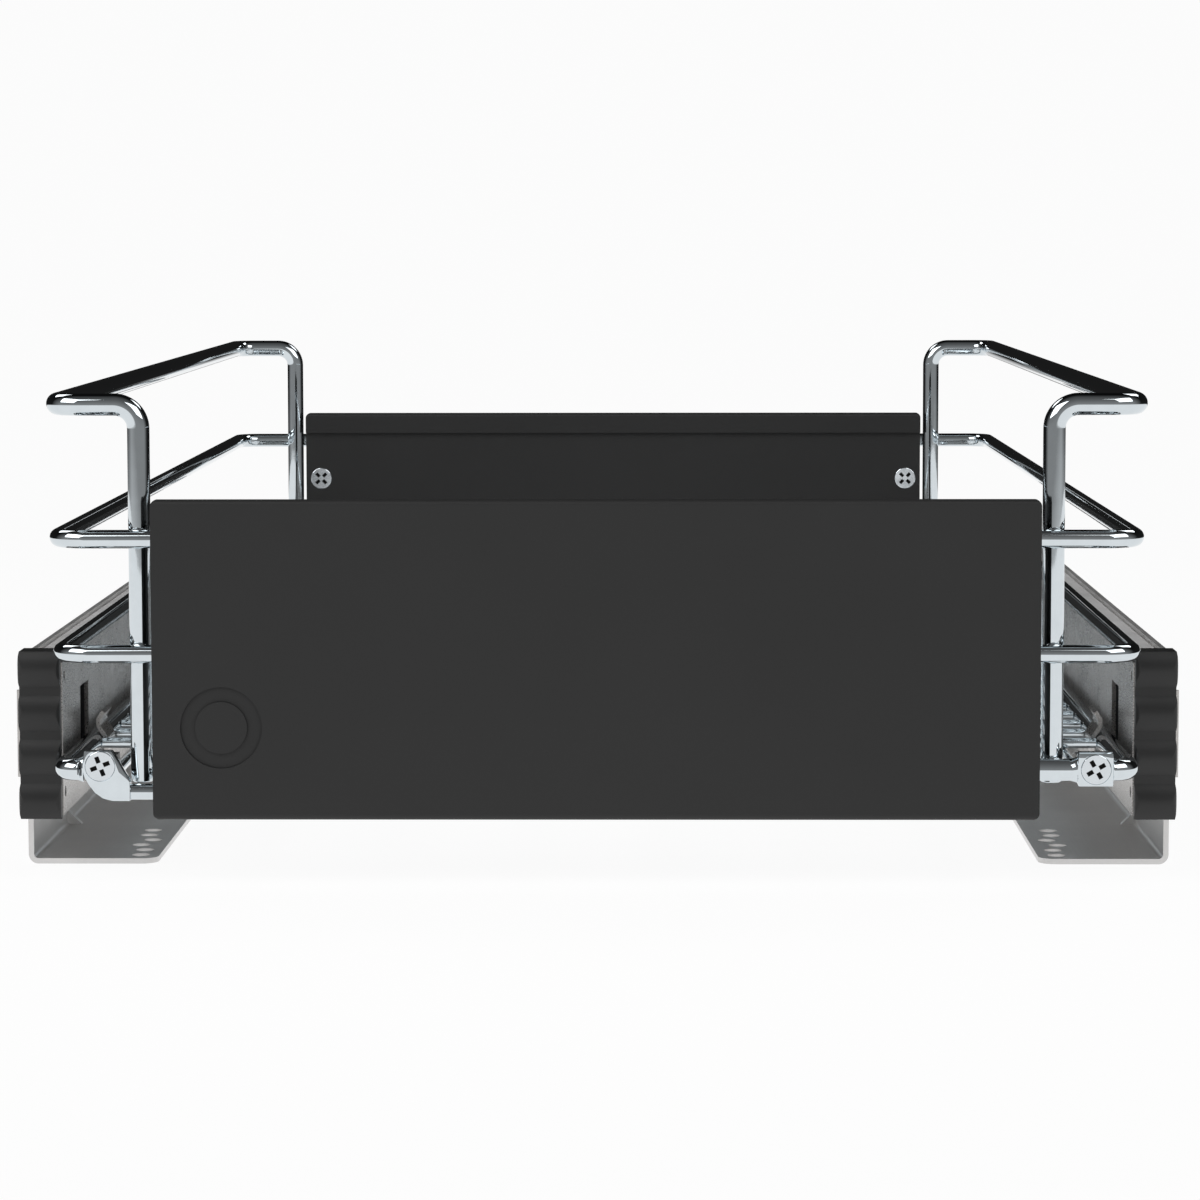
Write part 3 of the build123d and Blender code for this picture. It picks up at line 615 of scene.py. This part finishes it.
def weld_beads():
    """A small lump of weld wherever an upright meets a loop or the base wire."""
    bm = bmesh.new()
    for side in ("left", "right"):
        lo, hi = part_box(f"top_rail_{side}")
        x = lo.x + RAIL_R if side == "right" else hi.x - RAIL_R
        for node in ("middle_loop", "low_loop", "base_loop"):
            loop_lo, loop_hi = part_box(node)
            z = (loop_lo.z + loop_hi.z) / 2
            for y in (lo.y, hi.y):
                if (side, node, y) == ("left", "base_loop", lo.y):
                    continue           # the base wire is open there
                at = Matrix.Translation((x, y, z)) @ Matrix.Diagonal((*BEAD, 1.0))
                bmesh.ops.create_uvsphere(bm, u_segments=28, v_segments=18, radius=1.0,
                                          matrix=at)
    mesh = bpy.data.meshes.new("weld_beads")
    bmesh.ops.recalc_face_normals(bm, faces=bm.faces)
    bm.to_mesh(mesh)
    bm.free()
    smooth(mesh)
    beads = bpy.data.objects.new("weld_beads", mesh)
    bpy.context.scene.collection.objects.link(beads)
    mesh.materials.append(MATERIALS["chrome_wire"])
    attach(beads, BODY_OF["base_loop"])


# Length, and how far each cross recess is turned, in degrees.
SCREWS = {"basket_screws": (11.5 * MM, (30, 21)),
          "front_panel_screws": (8.5 * MM, (30, 30)),
          "rear_panel_screws": (7.9 * MM, (45, 45))}

for side in ("left", "right"):
    top_rail(side)
weld_beads()
base_wire()
front_bar()
for node, (length, turns) in SCREWS.items():
    screws(node, length, turns)
for node in ("middle_loop", "low_loop"):
    side_loop(node)
straight_wires("cross_wires", True)
straight_wires("long_wires", False)


# ---------------------------------------------------------------- stage
FLOOR_R, FLOOR_DROP = 1.3, 0.2 * MM
SHADE_IN, SHADE_OUT, SHADE = 0.35, 1.0, 0.09   # contact shadows fade out between these radii
SHADE_LIGHT = 0.45                         # what the lamps give back to the matt share
# Side, X sign and radiance of the front lamps. The back lamps share one radiance.
FRONT_LAMPS = (("left", -1, 3.1), ("right", 1, 2.3))
BACK_RADIANCE = 2.5
LAMP_TARGET = Vector((0, 0, 0.06))
CAMERA_AT, LENS, SENSOR = (0.014956, -1.338534, 0.178002), 122.44, 36.0
YAW, TILT, ROLL = -0.72486, 5.30176, -0.07115      # degrees


def floor():
    """Glowing white floor, with a thin matt share near the object that takes its shadow."""
    bm = bmesh.new()
    bmesh.ops.create_circle(bm, cap_ends=True, segments=96, radius=FLOOR_R)
    mesh = bpy.data.meshes.new("floor")
    bm.to_mesh(mesh)
    bm.free()
    plane = bpy.data.objects.new("floor", mesh)
    bpy.context.scene.collection.objects.link(plane)
    plane.location.z = -FLOOR_DROP
    material = bpy.data.materials.new("pale_floor")
    g = Graph(material)
    radius = g.add("VectorMath", {0: g.add("TexCoord").outputs["Object"]}, operation="LENGTH")
    share = g.ramp(radius.outputs["Value"], SHADE, 0.0, SHADE_IN, SHADE_OUT)
    lit = g.add("BsdfDiffuse", {"Color": share})
    lost = g.add("Math", {0: share, 1: SHADE_LIGHT}, operation="MULTIPLY")
    left_over = g.add("Math", {0: WHITE, 1: lost}, operation="SUBTRACT")
    glow = g.add("Emission", {"Color": (1, 1, 1, 1), "Strength": left_over})
    both = g.add("AddShader", {0: lit, 1: glow})
    g.add("OutputMaterial", {"Surface": both})
    plane.data.materials.append(material)


def studio():
    """White backdrop for the camera; the rest of the room is dim and lights the object softly."""
    world = bpy.data.worlds.new("studio")
    bpy.context.scene.world = world
    g = Graph(world)
    direction = g.add("SeparateXYZ", {"Vector": g.add("TexCoord").outputs["Generated"]})
    height, depth = direction.outputs["Z"], direction.outputs["Y"]
    rim = g.ramp(depth, 0.28, 0.012, -0.35, 0.25)
    fade = g.ramp(height, 1.0, 0.35, 0.0, 0.9)
    room = g.add("Math", {0: rim, 1: fade}, operation="MULTIPLY")
    below = g.ramp(height, 1.0, 0.0, -0.13, -0.06)
    level = g.add("Mix", data_type="FLOAT")
    g.feed(level.inputs["Factor"], below)
    g.feed(level.inputs["A"], room.outputs[0])
    g.feed(level.inputs["B"], WHITE)
    seen = g.add("Mix", data_type="FLOAT")
    g.feed(seen.inputs["Factor"], g.add("LightPath").outputs["Is Camera Ray"])
    g.feed(seen.inputs["A"], level.outputs["Result"])
    g.feed(seen.inputs["B"], WHITE)
    back = g.add("Background", {"Strength": seen.outputs["Result"], "Color": (1, 1, 1, 1)})
    g.add("OutputWorld", {"Surface": back})


def softbox(name, place, size, radiance):
    lamp = bpy.data.lights.new(name, "AREA")
    lamp.shape = "RECTANGLE"
    lamp.size, lamp.size_y = size
    lamp.energy = radiance * math.pi * size[0] * size[1]
    obj = bpy.data.objects.new(name, lamp)
    obj.location = place
    obj.rotation_euler = (LAMP_TARGET - Vector(place)).to_track_quat("-Z", "Y").to_euler()
    bpy.context.scene.collection.objects.link(obj)


def camera():
    data = bpy.data.cameras.new("camera")
    data.sensor_width = SENSOR
    data.lens = LENS
    data.clip_end = 100.0
    yaw, tilt, roll = (math.radians(a) for a in (YAW, TILT, ROLL))
    ahead = Vector((math.sin(yaw) * math.cos(tilt), math.cos(yaw) * math.cos(tilt),
                    -math.sin(tilt)))
    right = Vector((math.cos(yaw), -math.sin(yaw), 0))
    up = right.cross(ahead)
    turned_right = right * math.cos(roll) + up * math.sin(roll)
    turned_up = up * math.cos(roll) - right * math.sin(roll)
    obj = bpy.data.objects.new("camera", data)
    turn = Matrix((turned_right, turned_up, -ahead)).transposed().to_4x4()
    obj.matrix_world = Matrix.Translation(CAMERA_AT) @ turn
    bpy.context.scene.collection.objects.link(obj)
    bpy.context.scene.camera = obj


floor()
studio()
for side, sign, radiance in FRONT_LAMPS:
    softbox(f"softbox_{side}", (sign * 1.5, -1.5, 1.6), (2.0, 1.5), radiance)
    softbox(f"softbox_back_{side}", (sign * 1.3, 1.2, 1.9), (1.0, 0.8), BACK_RADIANCE)
camera()
bpy.context.scene.view_settings.view_transform = "Standard"
